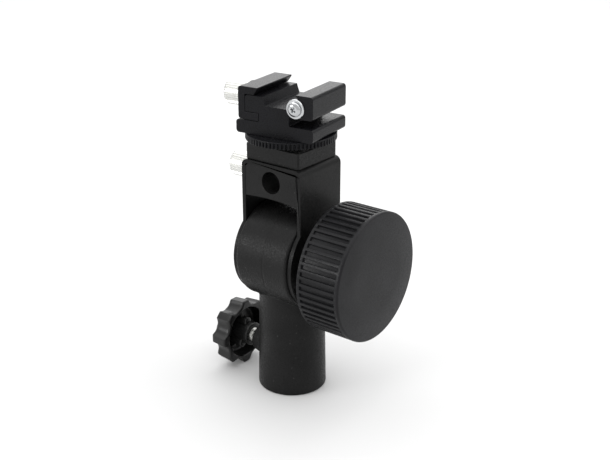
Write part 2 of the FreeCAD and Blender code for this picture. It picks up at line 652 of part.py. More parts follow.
def make_shoe_jaw():
    body = new_body("shoe_jaw")
    side = new_sketch(body, "XZ_Plane")
    arm_low, arm_high = "plate_top + jaw_gap", "rail_bottom - jaw_gap"
    lip_low = "shelf_top + jaw_gap"
    arm_end = "0 - neck_half - jaw_gap"
    add_outline(side, [
        ("0 - jaw_outer", arm_low), (arm_end, arm_low), (arm_end, arm_high),
        ("0 - jaw_wall", arm_high), ("0 - jaw_wall", lip_low), ("0 - jaw_root", lip_low),
        ("0 - jaw_lip", "jaw_top - lip_edge"), ("0 - jaw_lip", "jaw_top"),
        ("0 - jaw_outer", "jaw_top")])
    extrude(body, side, "shoe_half_length * 2")
    outer = -dim("jaw_outer")
    dress(body, "Fillet", along(TURN_Y, [V(outer, 0, dim("jaw_top"))]), "edge_round")
    dress(body, "Chamfer", along(TURN_Y, [V(outer, 0, dim(arm_low))]), "edge_round * 1.5")
    hole = bore(body, "jaw_screw_radius + jaw_gap", "jaw_outer - jaw_wall + overlap * 2",
                ("0 - jaw_outer - overlap", "0", "jaw_screw_height"), ACROSS, "screw_hole")
    cut_check(body, hole, "the jaw's screw hole")
    put_on_shoe(body)


def make_jaw_thumb_screw():
    height = dim("jaw_screw_height")
    stud = turned_piece("jaw_screw_stud", pin_profile("jaw_screw_radius", "jaw_screw_length"))
    put_on_shoe(stud, -dim("jaw_screw_tip + jaw_screw_length"), 0, height, ACROSS)
    collar = turned_piece("jaw_screw_collar", ring_profile("jaw_screw_radius + running_gap",
                                                           "jaw_collar_radius", "jaw_collar_thick"))
    collar_end = "jaw_outer + clearance + jaw_collar_thick"
    put_on_shoe(collar, -dim(collar_end), 0, height, ACROSS)
    head = make_thumb_head("jaw_screw_head", "jaw_head_radius", "jaw_head_length")
    floor = f"jaw_head_length - jaw_screw_tip - jaw_screw_length + {collar_end}"
    bore(head, "jaw_screw_radius", "jaw_head_length", ("0", "0", floor), None, "socket")
    put_on_shoe(head, -dim(collar_end + " + jaw_head_length"), 0, height, ACROSS)


def make_stop_screw():
    washer = turned_piece("stop_screw_washer", ring_profile("stop_radius + clearance",
                                                            "stop_washer_radius", "stop_washer_thick"))
    face = -dim("shoe_half_length")
    washer_front = face - dim("stop_washer_thick")
    put_on_shoe(washer, dim("stop_x"), washer_front, dim("stop_height"), INWARD)
    end = "stop_head_height + stop_length"
    screw = turned_piece("stop_screw", [
        ("0", "0"), ("stop_head_flat", "0"), ("stop_head_curve", "stop_head_height / 4"),
        ("stop_head_radius", "stop_head_height / 2"), ("stop_head_radius", "stop_head_height"),
        ("stop_radius", "stop_head_height"), ("stop_radius", end + " - pin_tip"),
        ("stop_radius - pin_tip", end), ("0", end)])
    for length, width in (("cross_length", "cross_width"), ("cross_width", "cross_length")):
        slot = new_sketch(screw, "XY_Plane")
        across, up = length + " / 2", width + " / 2"
        add_outline(slot, rectangle("0 - " + across, across, "0 - " + up, up))
        cut = extrude(screw, slot, "cross_depth * 2", "Pocket")
        cut_check(screw, cut, "the cross recess")
    head_front = washer_front - dim("stop_head_height")
    put_on_shoe(screw, dim("stop_x"), head_front, dim("stop_height"), INWARD)


# ---- tilt bolt and knob --------------------------------------------------------

def make_tilt_bolt():
    body = new_body("tilt_bolt")
    plan = new_sketch(body, "XY_Plane")
    corners = []
    for index in range(HEXAGON):
        direction = FreeCAD.Rotation(TURN_Z, 360 / HEXAGON * index).multVec(TURN_X)
        corners.append((f"bolt_head_radius * ({direction.x:.6f})",
                        f"bolt_head_radius * ({direction.y:.6f})"))
    add_outline(plan, corners)
    extrude(body, plan, "bolt_head_height", sides="One side")
    shank = body.newObject("PartDesign::AdditiveCylinder", "tilt_bolt_shank")
    shank.setExpression("Radius", linked("bolt_radius"))
    shank.setExpression("Height", linked("bolt_length + bolt_head_height"))
    put(body, -dim("leg_half + washer_thick + bolt_head_height"), 0, dim("tilt_height"), ACROSS)


def make_washers():
    hole = "bolt_radius + clearance"
    washer = turned_piece("tilt_bolt_washer", ring_profile(hole, "washer_radius", "washer_thick"))
    put(washer, -dim("leg_half + washer_thick"), 0, dim("tilt_height"), ACROSS)
    wide = turned_piece("knob_washer", ring_profile(hole, "knob_washer_radius", "knob_washer_thick"))
    put(wide, dim("leg_half"), 0, dim("tilt_height"), ACROSS)


def make_tilt_knob():
    """Height 0 is the back rim; the hub stands out of the hollow behind it."""
    body = new_body("tilt_knob")
    revolve(body, [
        ("0", "0 - knob_hub_reach"), ("knob_hub_radius - knob_edge", "0 - knob_hub_reach"),
        ("knob_hub_radius", "knob_edge - knob_hub_reach"), ("knob_hub_radius", "knob_floor"),
        ("knob_hollow", "knob_floor"), ("knob_hollow + knob_draft", "0"),
        ("knob_radius - knob_edge", "0"), ("knob_radius", "knob_edge"),
        ("knob_radius", "knob_length"), ("0", "knob_length + knob_dome")])
    edge = circle_at(TURN_Z, dim("knob_radius"), [dim("knob_length")])
    dress(body, "Fillet", edge, "knob_shoulder")
    groove = new_sketch(body, "XZ_Plane")
    root, outside = "knob_radius - groove_depth", "knob_radius + overlap * 2"
    add_outline(groove, [(root, "knob_rim"), (outside, "knob_rim"),
                         (outside, "groove_end + groove_depth + overlap * 2"), (root, "groove_end")])
    cut = extrude(body, groove, "groove_width", "Pocket")
    cut_check(body, cut, "a groove of the knob")
    repeat_round(body, cut, KNOB_RIBS)
    web = new_sketch(body, "XZ_Plane")
    add_outline(web, rectangle("knob_hub_radius - overlap * 2", "knob_hollow + knob_draft",
                               "knob_web_sink", "knob_floor + overlap"))
    repeat_round(body, extrude(body, web, "knob_web_thick"), KNOB_WEBS)
    bore(body, "insert_radius + running_gap", "insert_length + tip_room",
         ("0", "0", "0 - knob_hub_reach"), None, "socket")
    put(body, dim("knob_back"), 0, dim("tilt_height"), ACROSS)


def make_knob_insert():
    body = turned_piece("knob_insert", ring_profile("bolt_radius + running_gap", "insert_radius",
                                                    "insert_length"))
    put(body, dim("knob_back - knob_hub_reach"), 0, dim("tilt_height"), ACROSS)


make_stand_socket()
make_friction_discs()
make_star_knob()
make_star_knob_screw()
make_yoke_bracket()
make_umbrella_block()
make_stud_block()
make_block_screws()
make_shoe_stud()
make_lock_ring()
make_umbrella_thumb_screw()
make_shoe_base()
make_shoe_jaw()
make_jaw_thumb_screw()
make_stop_screw()
make_tilt_bolt()
make_washers()
make_tilt_knob()
make_knob_insert()
doc.recompute()

for item in doc.Objects:
    if "Invalid" in item.State or "Error" in item.State:
        raise RuntimeError(f"{item.Label} failed: {item.State}")
os.makedirs("parts", exist_ok=True)
for body in bodies:
    shape = body.Shape
    if shape.isNull() or not shape.isValid() or not shape.Solids:
        raise RuntimeError(f"{body.Label} has no valid solid")
    shape.exportStep(f"parts/{body.Label}.step")
    print(f"{body.Label}: {len(shape.Solids)} solid, {shape.Volume:.0f} mm3")
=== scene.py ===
import json
import math

import bmesh
import bpy
from mathutils import Matrix, Vector


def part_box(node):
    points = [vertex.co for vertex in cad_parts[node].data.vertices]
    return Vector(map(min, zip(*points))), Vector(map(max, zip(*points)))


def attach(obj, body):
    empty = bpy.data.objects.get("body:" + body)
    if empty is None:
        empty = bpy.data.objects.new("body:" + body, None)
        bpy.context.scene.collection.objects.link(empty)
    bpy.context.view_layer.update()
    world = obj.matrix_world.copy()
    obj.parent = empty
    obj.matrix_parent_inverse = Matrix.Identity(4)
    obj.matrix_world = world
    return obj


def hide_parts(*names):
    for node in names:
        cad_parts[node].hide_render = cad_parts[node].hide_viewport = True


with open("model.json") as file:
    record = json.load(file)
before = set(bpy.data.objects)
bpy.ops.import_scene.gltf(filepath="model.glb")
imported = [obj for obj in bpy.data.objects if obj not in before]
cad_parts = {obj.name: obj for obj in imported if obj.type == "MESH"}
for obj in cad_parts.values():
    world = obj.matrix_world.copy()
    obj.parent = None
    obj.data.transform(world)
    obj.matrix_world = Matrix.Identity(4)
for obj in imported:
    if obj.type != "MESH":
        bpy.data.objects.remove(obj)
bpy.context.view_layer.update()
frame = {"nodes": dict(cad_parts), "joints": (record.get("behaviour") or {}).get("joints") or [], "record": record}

MM = 0.001
TAU = 2 * math.pi
RECORD = frame["record"]
JOINTS = {joint["name"]: joint for joint in frame["joints"]}
TILT_Z = JOINTS["yoke_tilt"]["pos_m"][2]
LOCK_Z = JOINTS["star_knob_turn"]["pos_m"][2]
SHOE_AXIS = JOINTS["jaw_slide"]["axis"]
SHOE_YAW = math.atan2(SHOE_AXIS[1], SHOE_AXIS[0])
YAW = Matrix.Rotation(SHOE_YAW, 4, "Z")
UMBRELLA_Z = JOINTS["umbrella_screw_turn"]["pos_m"][2]
JAW_SCREW_Z = JOINTS["jaw_screw_turn"]["pos_m"][2]
ALONG_X = Matrix.Rotation(math.pi / 2, 4, "Y")
ALONG_Y = Matrix.Rotation(-math.pi / 2, 4, "X")
BODIES = {node: body for body, nodes in RECORD["behaviour"]["bodies"].items() for node in nodes}
SLOTS = {entry["node"]: entry["material_slot"] for entry in RECORD["subparts"]}
STOP_LOW, STOP_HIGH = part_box("stop_screw")
STOP_Z = (STOP_LOW.z + STOP_HIGH.z) / 2
STOP_X = 9.4 * MM  # place of the stop screw across the shoe
PIVOT_HOLE = 4.05 * MM  # radius of the barrel's bore for the M8 bolt
PAST = 1.2  # how far a cutting tool reaches, in shares of the piece's own reach
LOCK_HOLE = 3.05 * MM  # radius of the holes for the M6 lock screw
STUD_HOLE = 3.225 * MM  # radius of the bore of ring and shoe for the quarter inch stud


# ---- outlines ------------------------------------------------------------------

def corner_arc(before, corner, after, radius, steps):
    """Points that round one corner of an outline."""
    into = (Vector(before) - Vector(corner)).normalized()
    out = (Vector(after) - Vector(corner)).normalized()
    half = math.acos(max(-1.0, min(1.0, into.dot(out)))) / 2
    nearly_straight = math.radians(89.5)
    if radius <= 0 or half > nearly_straight:
        return [Vector(corner)]
    centre = Vector(corner) + (into + out).normalized() * radius / math.sin(half)
    start = Vector(corner) + into * radius / math.tan(half) - centre
    end = Vector(corner) + out * radius / math.tan(half) - centre
    turn = start.angle_signed(end)
    first = math.atan2(start.y, start.x)
    points = []
    for step in range(steps + 1):
        angle = first - turn * step / steps
        points.append(centre + Vector((math.cos(angle), math.sin(angle))) * radius)
    return points


def rounded(corners, steps=4):
    """A closed outline from (across, up, radius) corners, in metres."""
    points = []
    count = len(corners)
    for index, (across, up, radius) in enumerate(corners):
        before = corners[index - 1][:2]
        after = corners[(index + 1) % count][:2]
        points += corner_arc(before, (across, up), after, radius, steps)
    return points


def open_profile(corners, steps=4):
    """The same for an outline whose first and last corner stay as they are."""
    points = [Vector(corners[0][:2])]
    for index in range(1, len(corners) - 1):
        across, up, radius = corners[index]
        points += corner_arc(corners[index - 1][:2], (across, up), corners[index + 1][:2],
                             radius, steps)
    points.append(Vector(corners[-1][:2]))
    return points


def spread(points, longest, closed=True):
    """Adds points so that no edge of an outline is longer than longest."""
    filled = []
    count = len(points)
    for index, point in enumerate(points):
        filled.append(point)
        if index == count - 1 and not closed:
            break
        following = points[(index + 1) % count]
        pieces = max(1, math.ceil((following - point).length / longest))
        filled += [point.lerp(following, step / pieces) for step in range(1, pieces)]
    return filled


# ---- meshes --------------------------------------------------------------------

def new_object(name, bm):
    """Turns a mesh under construction into a piece in the scene."""
    mesh = bpy.data.meshes.new(name)
    bmesh.ops.recalc_face_normals(bm, faces=bm.faces)
    bm.to_mesh(mesh)
    bm.free()
    piece = bpy.data.objects.new(name, mesh)
    bpy.context.scene.collection.objects.link(piece)
    return piece


def ribbed(count, phases):
    """Angles round a circle, at the same phases of each of count ribs."""
    return [TAU * (index + phase) / count for index in range(count) for phase in phases]


def lathe(profile, around, closed=False, wave=None):
    """A turned solid about Z from a (radius, height) profile; a closed one makes a ring.

    around is a number of even steps or a list of angles, and wave(radius, height, angle)
    gives the radius where it isn't constant."""
    angles = ribbed(around, [0]) if isinstance(around, int) else around
    on_axis = 1e-7
    count = len(angles)
    bm = bmesh.new()
    rows = []
    for radius, height in profile:
        if radius < on_axis:
            rows.append([bm.verts.new((0, 0, height))])
            continue
        row = []
        for angle in angles:
            reach = wave(radius, height, angle) if wave else radius
            row.append(bm.verts.new((reach * math.cos(angle), reach * math.sin(angle), height)))
        rows.append(row)
    pairs = list(zip(rows, rows[1:]))
    if closed:
        pairs.append((rows[-1], rows[0]))
    for low, high in pairs:
        for step in range(count):
            following = (step + 1) % count
            if len(low) == 1 and len(high) == 1:
                continue
            if len(low) == 1:
                bm.faces.new((low[0], high[step], high[following]))
            elif len(high) == 1:
                bm.faces.new((low[step], high[0], low[following]))
            else:
                bm.faces.new((low[step], high[step], high[following], low[following]))
    return bm


def prism(outline, depth):
    """An outline in X and Z drawn out evenly along Y."""
    bm = bmesh.new()
    front = [bm.verts.new((point[0], -depth / 2, point[1])) for point in outline]
    back = [bm.verts.new((point[0], depth / 2, point[1])) for point in outline]
    bm.faces.new(front)
    bm.faces.new(list(reversed(back)))
    count = len(outline)
    for index in range(count):
        following = (index + 1) % count
        bm.faces.new((front[index], back[index], back[following], front[following]))
    return bm


def soft_prism(outline, depth, width):
    """A prism with its sharp edges rounded."""
    sharp = math.radians(30)
    bm = prism(outline, depth)
    bmesh.ops.recalc_face_normals(bm, faces=bm.faces)
    edges = [edge for edge in bm.edges if edge.calc_face_angle(0) > sharp]
    bmesh.ops.bevel(bm, geom=edges, offset=width, segments=2, profile=0.5, affect="EDGES")
    return bm


def cylinder(radius, low, high, around=64):
    """A plain cylinder about Z, to cut with or to join on."""
    return lathe([(0, low), (radius, low), (radius, high), (0, high)], around)


def moved(bm, matrix):
    bm.transform(matrix)
    return bm


def joined(parts):
    """One mesh out of several."""
    whole = parts[0]
    for part in parts[1:]:
        mesh = bpy.data.meshes.new("joined")
        part.to_mesh(mesh)
        part.free()
        whole.from_mesh(mesh)
        bpy.data.meshes.remove(mesh)
    return whole


def settle(piece):
    """Applies the modifiers of a piece."""
    graph = bpy.context.evaluated_depsgraph_get()
    graph.update()
    mesh = bpy.data.meshes.new_from_object(piece.evaluated_get(graph))
    old = piece.data
    piece.modifiers.clear()
    piece.data = mesh
    mesh.name = piece.name
    bpy.data.meshes.remove(old)


def combine(piece, bm, operation="DIFFERENCE"):
    """Cuts a mesh out of piece, or adds it."""
    tool = new_object("tool", bm)
    modifier = piece.modifiers.new("combine", "BOOLEAN")
    modifier.operation = operation
    modifier.solver = "EXACT"
    modifier.object = tool
    settle(piece)
    mesh = tool.data
    bpy.data.objects.remove(tool)
    bpy.data.meshes.remove(mesh)


def break_edges(piece, width, angle=32, segments=3):
    """Rounds every edge sharper than angle, and keeps flat faces flat."""
    bevel = piece.modifiers.new("bevel", "BEVEL")
    bevel.width = width
    bevel.segments = segments
    bevel.limit_method = "ANGLE"
    bevel.angle_limit = math.radians(angle)
    bevel.miter_outer = "MITER_ARC"
    bevel.use_clamp_overlap = True
    settle(piece)


def finish_mesh(piece, sharp=50, weighted=True):
    """Smooth shading with crisp corners."""
    for face in piece.data.polygons:
        face.use_smooth = True
    piece.data.set_sharp_from_angle(angle=math.radians(sharp))
    if weighted:
        normals = piece.modifiers.new("normals", "WEIGHTED_NORMAL")
        normals.keep_sharp = True
        settle(piece)


def show(piece, node):
    """Gives a finished piece the body and finish of the CAD node that it stands for."""
    piece.data.materials.clear()
    piece.data.materials.append(FINISHES[SLOTS[node]])
    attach(piece, BODIES[node])
    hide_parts(node)


# ---- materials -----------------------------------------------------------------

def noise(tree, place, scale, detail, roughness=0.6):
    item = tree.nodes.new("ShaderNodeTexNoise")
    item.inputs["Scale"].default_value = scale
    item.inputs["Detail"].default_value = detail
    item.inputs["Roughness"].default_value = roughness
    tree.links.new(place, item.inputs["Vector"])
    return item.outputs["Fac"]


def ramp(tree, value, stops):
    """A colour ramp through (position, colour) stops."""
    item = tree.nodes.new("ShaderNodeValToRGB")
    tree.links.new(value, item.inputs["Fac"])
    elements = item.color_ramp.elements
    while len(elements) < len(stops):
        elements.new(0.5)
    for element, (position, colour) in zip(elements, stops):
        element.position = position
        element.color = (*colour, 1.0)
    return item.outputs["Color"]


def remap(tree, value, before, after):
    item = tree.nodes.new("ShaderNodeMapRange")
    for name, number in zip(("From Min", "From Max", "To Min", "To Max"), (*before, *after)):
        item.inputs[name].default_value = number
    tree.links.new(value, item.inputs["Value"])
    return item.outputs["Result"]


def bumped(tree, height, depth, under=None):
    item = tree.nodes.new("ShaderNodeBump")
    item.inputs["Distance"].default_value = depth
    tree.links.new(height, item.inputs["Height"])
    if under:
        tree.links.new(under, item.inputs["Normal"])
    return item.outputs["Normal"]


def scaled(shade, factor):
    return tuple(min(1.0, channel * factor) for channel in shade)


CLOUD_SCALE, DUST_SCALE, SWELL_SCALE = 90.0, 1500.0, 250.0  # repeats per metre
# the noise values that stand for the least and the most of each
CLOUD_RANGE, GRAIN_RANGE, DUST_RANGE = (0.3, 0.7), (0.38, 0.62), (0.74, 0.8)
DUST_COLOUR = (0.35, 0.35, 0.34, 1.0)
CLOUD_GLOSS = 0.1  # how much the gloss varies with the clouding


def finish(name, shade, roughness, grain, depth, metallic=0.0, specular=0.5, clouding=0.25,
           specks=0.0, coarse=0.0, sparkle=0.0):
    """A finish with fine grain, uneven gloss and faint clouding.

    grain is the size of the grain and depth its height, in metres. specks is how much paler
    the odd dust speck is, coarse the height of a wider unevenness under the grain, and
    sparkle how much the gloss varies from grain to grain, in place of the clouding."""
    material = bpy.data.materials.new(name)
    material.use_nodes = True
    tree = material.node_tree
    shader = tree.nodes["Principled BSDF"]
    place = tree.nodes.new("ShaderNodeTexCoord").outputs["Object"]
    fine = noise(tree, place, 1 / grain, detail=3.0, roughness=0.65)
    cloud = noise(tree, place, CLOUD_SCALE, detail=5.0, roughness=0.55)
    shades = scaled(shade, 1 - clouding), scaled(shade, 1 + clouding)
    colour = ramp(tree, cloud, list(zip(CLOUD_RANGE, shades)))
    if specks:
        dust = noise(tree, place, DUST_SCALE, detail=1.0, roughness=0.5)
        mask = remap(tree, dust, DUST_RANGE, (0.0, specks))
        mix = tree.nodes.new("ShaderNodeMix")
        mix.data_type = "RGBA"
        tree.links.new(mask, mix.inputs[0])
        tree.links.new(colour, mix.inputs[6])
        mix.inputs[7].default_value = DUST_COLOUR
        colour = mix.outputs[2]
    tree.links.new(colour, shader.inputs["Base Color"])
    if sparkle:
        gloss = remap(tree, fine, GRAIN_RANGE, (roughness * (1 - sparkle), roughness * (1 + sparkle)))
    else:
        gloss = remap(tree, cloud, CLOUD_RANGE,
                      (roughness * (1 - CLOUD_GLOSS), roughness * (1 + CLOUD_GLOSS)))
    tree.links.new(gloss, shader.inputs["Roughness"])
    normal = None
    if coarse:
        normal = bumped(tree, noise(tree, place, SWELL_SCALE, detail=2.0), coarse)
    tree.links.new(bumped(tree, fine, depth, normal), shader.inputs["Normal"])
    shader.inputs["Metallic"].default_value = metallic
    shader.inputs["Specular IOR Level"].default_value = specular
    return material


FINISHES = {
    "cast_body": finish("black_powder_coat", (0.008, 0.008, 0.008), 0.4, 0.0006, 0.00012,
                        specular=0.13, specks=0.15, coarse=0.00005, sparkle=0.35),
    "yoke_sheet": finish("black_coated_sheet", (0.005, 0.005, 0.005), 0.38, 0.0006, 0.00008,
                         specular=0.13, specks=0.1, sparkle=0.25),
    "anodised_shoe": finish("black_anodised", (0.004, 0.004, 0.005), 0.3, 0.0005, 0.00005,
                            specular=0.13, sparkle=0.25),
    "knob_plastic": finish("black_matt_plastic", (0.009, 0.009, 0.010), 0.4, 0.0005, 0.00004,
                           specular=0.15, sparkle=0.25),
    "star_plastic": finish("black_gloss_plastic", (0.006, 0.006, 0.006), 0.34, 0.0012, 0.00001,
                           specular=0.32),
    "bright_nickel": finish("bright_nickel", (0.62, 0.62, 0.6), 0.36, 0.0006, 0.000008,
                            metallic=1.0, clouding=0.04),
    "chrome_screw": finish("chrome_screw", (0.5, 0.51, 0.52), 0.12, 0.0006, 0.000006,
                           metallic=1.0, clouding=0.08),
    "zinc_steel": finish("zinc_steel", (0.52, 0.52, 0.5), 0.32, 0.0004, 0.00001,
                         metallic=1.0, clouding=0.15),
    "black_steel": finish("black_oxide_steel", (0.012, 0.012, 0.012), 0.36, 0.0003, 0.00001),
    "brass_bush": finish("turned_brass", (0.55, 0.4, 0.16), 0.3, 0.0004, 0.00001, metallic=1.0),
    "fibre_disc": finish("pressed_fibre", (0.07, 0.055, 0.04), 0.8, 0.0005, 0.00005),
}


# ---- tilt knob -----------------------------------------------------------------

KNOB_RIBS = 58
KNOB_WEBS = 6
# where the points across a rib lie, in shares of its pitch: closest together on its flanks
RIB_PHASES = [0.0, 0.15, 0.195, 0.22, 0.25, 0.5, 0.75, 0.78, 0.805, 0.85]


def step_up(low, high, value):
    """0 below low, 1 above high and a smooth rise between."""
    ratio = max(0.0, min(1.0, (value - low) / (high - low)))
    return ratio * ratio * (3 - 2 * ratio)


def make_tilt_knob():
    low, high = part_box("tilt_knob")
    radius = (high.z - low.z) / 2
    hub_reach, hub = 6.1 * MM, 9 * MM
    dome = 0.7 * MM
    hollow, draft, floor = 21.4 * MM, MM, 14.5 * MM
    socket, socket_depth = 6.05 * MM, 9 * MM
    rim, groove_end, run_out, depth = 1.2 * MM, 16.3 * MM, 1.1 * MM, 0.9 * MM
    groove_half, flank_end, crown_height = 0.245, 0.3, 0.08 * MM
    web_low, web_thick, web_edge = 3 * MM, 1.6 * MM, 0.25 * MM
    length = high.x - low.x - hub_reach
    edge = length - dome
    profile = open_profile([
        (0, socket_depth, 0), (socket, socket_depth, 0), (socket, -hub_reach, 0.3 * MM),
        (hub, -hub_reach, 0.5 * MM), (hub, floor, 1.0 * MM), (hollow, floor, 1.5 * MM),
        (hollow + draft, 0, 0.4 * MM), (radius, 0, 0.35 * MM), (radius, rim, 0),
        (radius, rim + 0.3 * MM, 0), (radius, groove_end, 0), (radius, groove_end + run_out / 2, 0),
        (radius, groove_end + run_out, 0), (radius, edge, 0.8 * MM),
        (radius * 0.6, edge + dome * 0.75, 60 * MM), (0, length, 0)], 6)

    def ribs(reach, height, angle):
        """Cuts the grooves between the ribs and rounds the ribs' tops."""
        if reach < hollow + draft + MM or height < rim / 2:
            return reach
        along = step_up(rim - 0.1 * MM, rim + 0.25 * MM, height)
        along *= 1 - step_up(groove_end, groove_end + run_out, height)
        phase = (angle * KNOB_RIBS / TAU) % 1.0
        crown = crown_height * step_up(0.0, 0.2, min(phase, 1 - phase))
        across = 1 - step_up(groove_half, flank_end, abs(phase - 0.5))
        return reach - (depth * across + crown * (1 - across)) * along

    bm = lathe(profile, ribbed(KNOB_RIBS, RIB_PHASES), wave=ribs)
    web = rounded([(hub - MM / 2, web_low, 0), (hollow + draft, web_low, 0),
                   (hollow + draft, floor + MM, 0), (hub - MM / 2, floor + MM, 0)])
    webs = [moved(soft_prism(web, web_thick, web_edge), Matrix.Rotation(TAU * index / KNOB_WEBS, 4, "Z"))
            for index in range(KNOB_WEBS)]
    place = Matrix.Translation((low.x + hub_reach, 0, TILT_Z)) @ ALONG_X
    knob = new_object("tilt_knob_moulding", moved(joined([bm, *webs]), place))
    finish_mesh(knob, sharp=40, weighted=False)
    show(knob, "tilt_knob")


# ---- stand column --------------------------------------------------------------

GRID = 0.4 * MM  # spacing of the casting's surface points
SEAM_X, SEAM_DEPTH = MM, 0.15 * MM  # the mould's parting line round the barrel


def make_socket_casting():
    low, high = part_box("stand_socket")
    radius, half = high.z - TILT_Z, 12.5 * MM
    foot_radius, top_radius = 14 * MM, 13.1 * MM
    bore, mouth, bore_depth, chamfer = 8.1 * MM, 8.5 * MM, 36 * MM, 0.4 * MM
    boss_foot, boss_shoulder, boss_top = 6.8 * MM, 6.3 * MM, 5.4 * MM
    top = TILT_Z - radius / 2
    tilt = Matrix.Translation((0, 0, TILT_Z)) @ ALONG_X
    casting = new_object("socket_casting", lathe(spread(open_profile([
        (0, 0, 0), (foot_radius, 0, 0.5 * MM), (top_radius, top, 0), (0, top, 0)]),
        3 * MM, closed=False), 96))
    barrel = open_profile([(0, -half, 0), (radius, -half, MM), (radius, half, MM), (0, half, 0)], 6)
    combine(casting, moved(lathe(barrel, 160), tilt), "UNION")
    boss_end = -low.x
    boss = open_profile([(0, 9 * MM, 0), (boss_foot, 9 * MM, 0), (boss_shoulder, 13.4 * MM, 1.5 * MM),
                         (boss_top, boss_end, 0.6 * MM), (0, boss_end, 0)])
    lock = Matrix.Translation((0, 0, LOCK_Z)) @ Matrix.Rotation(-math.pi / 2, 4, "Y")
    combine(casting, moved(lathe(boss, 64), lock), "UNION")
    spot_radius, disc_radius, disc_sink = 19.3 * MM, 13.35 * MM, 0.9 * MM
    for side in (-1, 1):  # the turned face and the friction disc's seat at each end
        turn = Matrix.Translation((0, 0, TILT_Z)) @ Matrix.Rotation(side * math.pi / 2, 4, "Y")
        combine(casting, moved(cylinder(spot_radius, half, half * 1.6, 128), turn))
        combine(casting, moved(cylinder(disc_radius, half - disc_sink, half * 1.6, 96), turn))
    combine(casting, moved(cylinder(PIVOT_HOLE, -half * PAST, half * PAST, 48), tilt))
    combine(casting, moved(cylinder(LOCK_HOLE, 0, boss_end * PAST, 48), lock))
    spigot = [(0, -MM), (mouth, -MM), (bore, chamfer), (bore, bore_depth - MM),
              (bore - MM, bore_depth), (0, bore_depth)]
    combine(casting, lathe(spigot, 96))
    remesh = casting.modifiers.new("cast", "REMESH")
    remesh.mode = "VOXEL"
    remesh.voxel_size = GRID
    soften = casting.modifiers.new("soften", "SMOOTH")
    soften.factor = 0.5
    soften.iterations = 4
    settle(casting)
    for vertex in casting.data.vertices:
        place = vertex.co
        inward = Vector((0, place.y, place.z - TILT_Z))
        on_barrel = abs(inward.length - radius) < SEAM_DEPTH and place.z > top
        if on_barrel and abs(place.x - SEAM_X) < GRID / 2:
            vertex.co = place - inward.normalized() * SEAM_DEPTH
    finish_mesh(casting, sharp=180, weighted=False)
    show(casting, "stand_socket")


# ---- star knob -----------------------------------------------------------------

STAR_LOBES = 8
STAR_RIBS = 3
STAR_TURN = 1.5  # lobes that the ribs stand away from straight below the axis


def make_star_knob():
    low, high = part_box("star_knob")
    length = high.x - low.x
    radius, depth, floor = 14.45 * MM, 8 * MM, 2.6 * MM
    notch_ring, notch = 17.4 * MM, 5.2 * MM
    hollow, hub = 10.9 * MM, 5.6 * MM
    rib_low, rib_high, rib_thick, rib_edge = 4.4 * MM, 8.4 * MM, 1.5 * MM, 0.3 * MM
    shell = open_profile([
        (0, 0.4 * MM, 0), (7 * MM, 0.4 * MM, 4 * MM), (9 * MM, 0, 4 * MM),
        (radius - 0.7 * MM, 0, 1.3 * MM), (radius, depth, 0.8 * MM), (hollow, depth, 0.7 * MM),
        (hollow - 0.7 * MM, floor, MM), (hub, floor, 0.8 * MM), (hub - 0.7 * MM, length, 0.5 * MM),
        (LOCK_HOLE, length, 0.2 * MM), (LOCK_HOLE, floor, 0), (0, floor, 0)], 5)

    def lobes(reach, height, angle):
        """Pulls the rim in round the scallops, less towards the middle."""
        phase = abs((angle * STAR_LOBES / TAU) % 1.0 - 0.5) * TAU / STAR_LOBES
        sideways = notch_ring * math.sin(phase)
        limit = radius
        if abs(sideways) < notch:
            limit = min(radius, notch_ring * math.cos(phase) - math.sqrt(notch ** 2 - sideways ** 2))
        share = step_up(hollow, radius - 1.5 * MM, reach)
        return reach + (limit - radius) * share

    bm = lathe(spread(shell, MM, closed=False), STAR_LOBES * 28, wave=lobes)
    rib = rounded([(hub - MM, floor - MM / 2, 0), (hollow + MM / 2, floor - MM / 2, 0),
                   (hollow + MM / 2, rib_low, 0), (hub - MM, rib_high, 0)])
    # the distance from the axis, radius and top of the lumps at both ends of a rib
    lumps = ((hub - 0.2 * MM, 2.1 * MM, 9.6 * MM), (hollow - 0.2 * MM, 1.7 * MM, 6.6 * MM))
    ribs = []
    for index in range(STAR_RIBS):
        turn = Matrix.Rotation(TAU * (index / STAR_RIBS + STAR_TURN / STAR_LOBES), 4, "Z")
        ribs.append(moved(soft_prism(rib, rib_thick, rib_edge), turn))
        for out, size, top in lumps:
            lump = open_profile([(0, floor, 0), (size, floor, 0), (size * 0.9, top, 0.8 * MM),
                                 (0, top, 0)])
            ribs.append(moved(lathe(lump, 32), turn @ Matrix.Translation((out, 0, 0))))
    place = Matrix.Translation((low.x, 0, LOCK_Z)) @ ALONG_X
    knob = new_object("star_knob_moulding", moved(joined([bm, *ribs]), place))
    finish_mesh(knob, sharp=50, weighted=False)
    show(knob, "star_knob")


# ---- yoke and blocks -----------------------------------------------------------

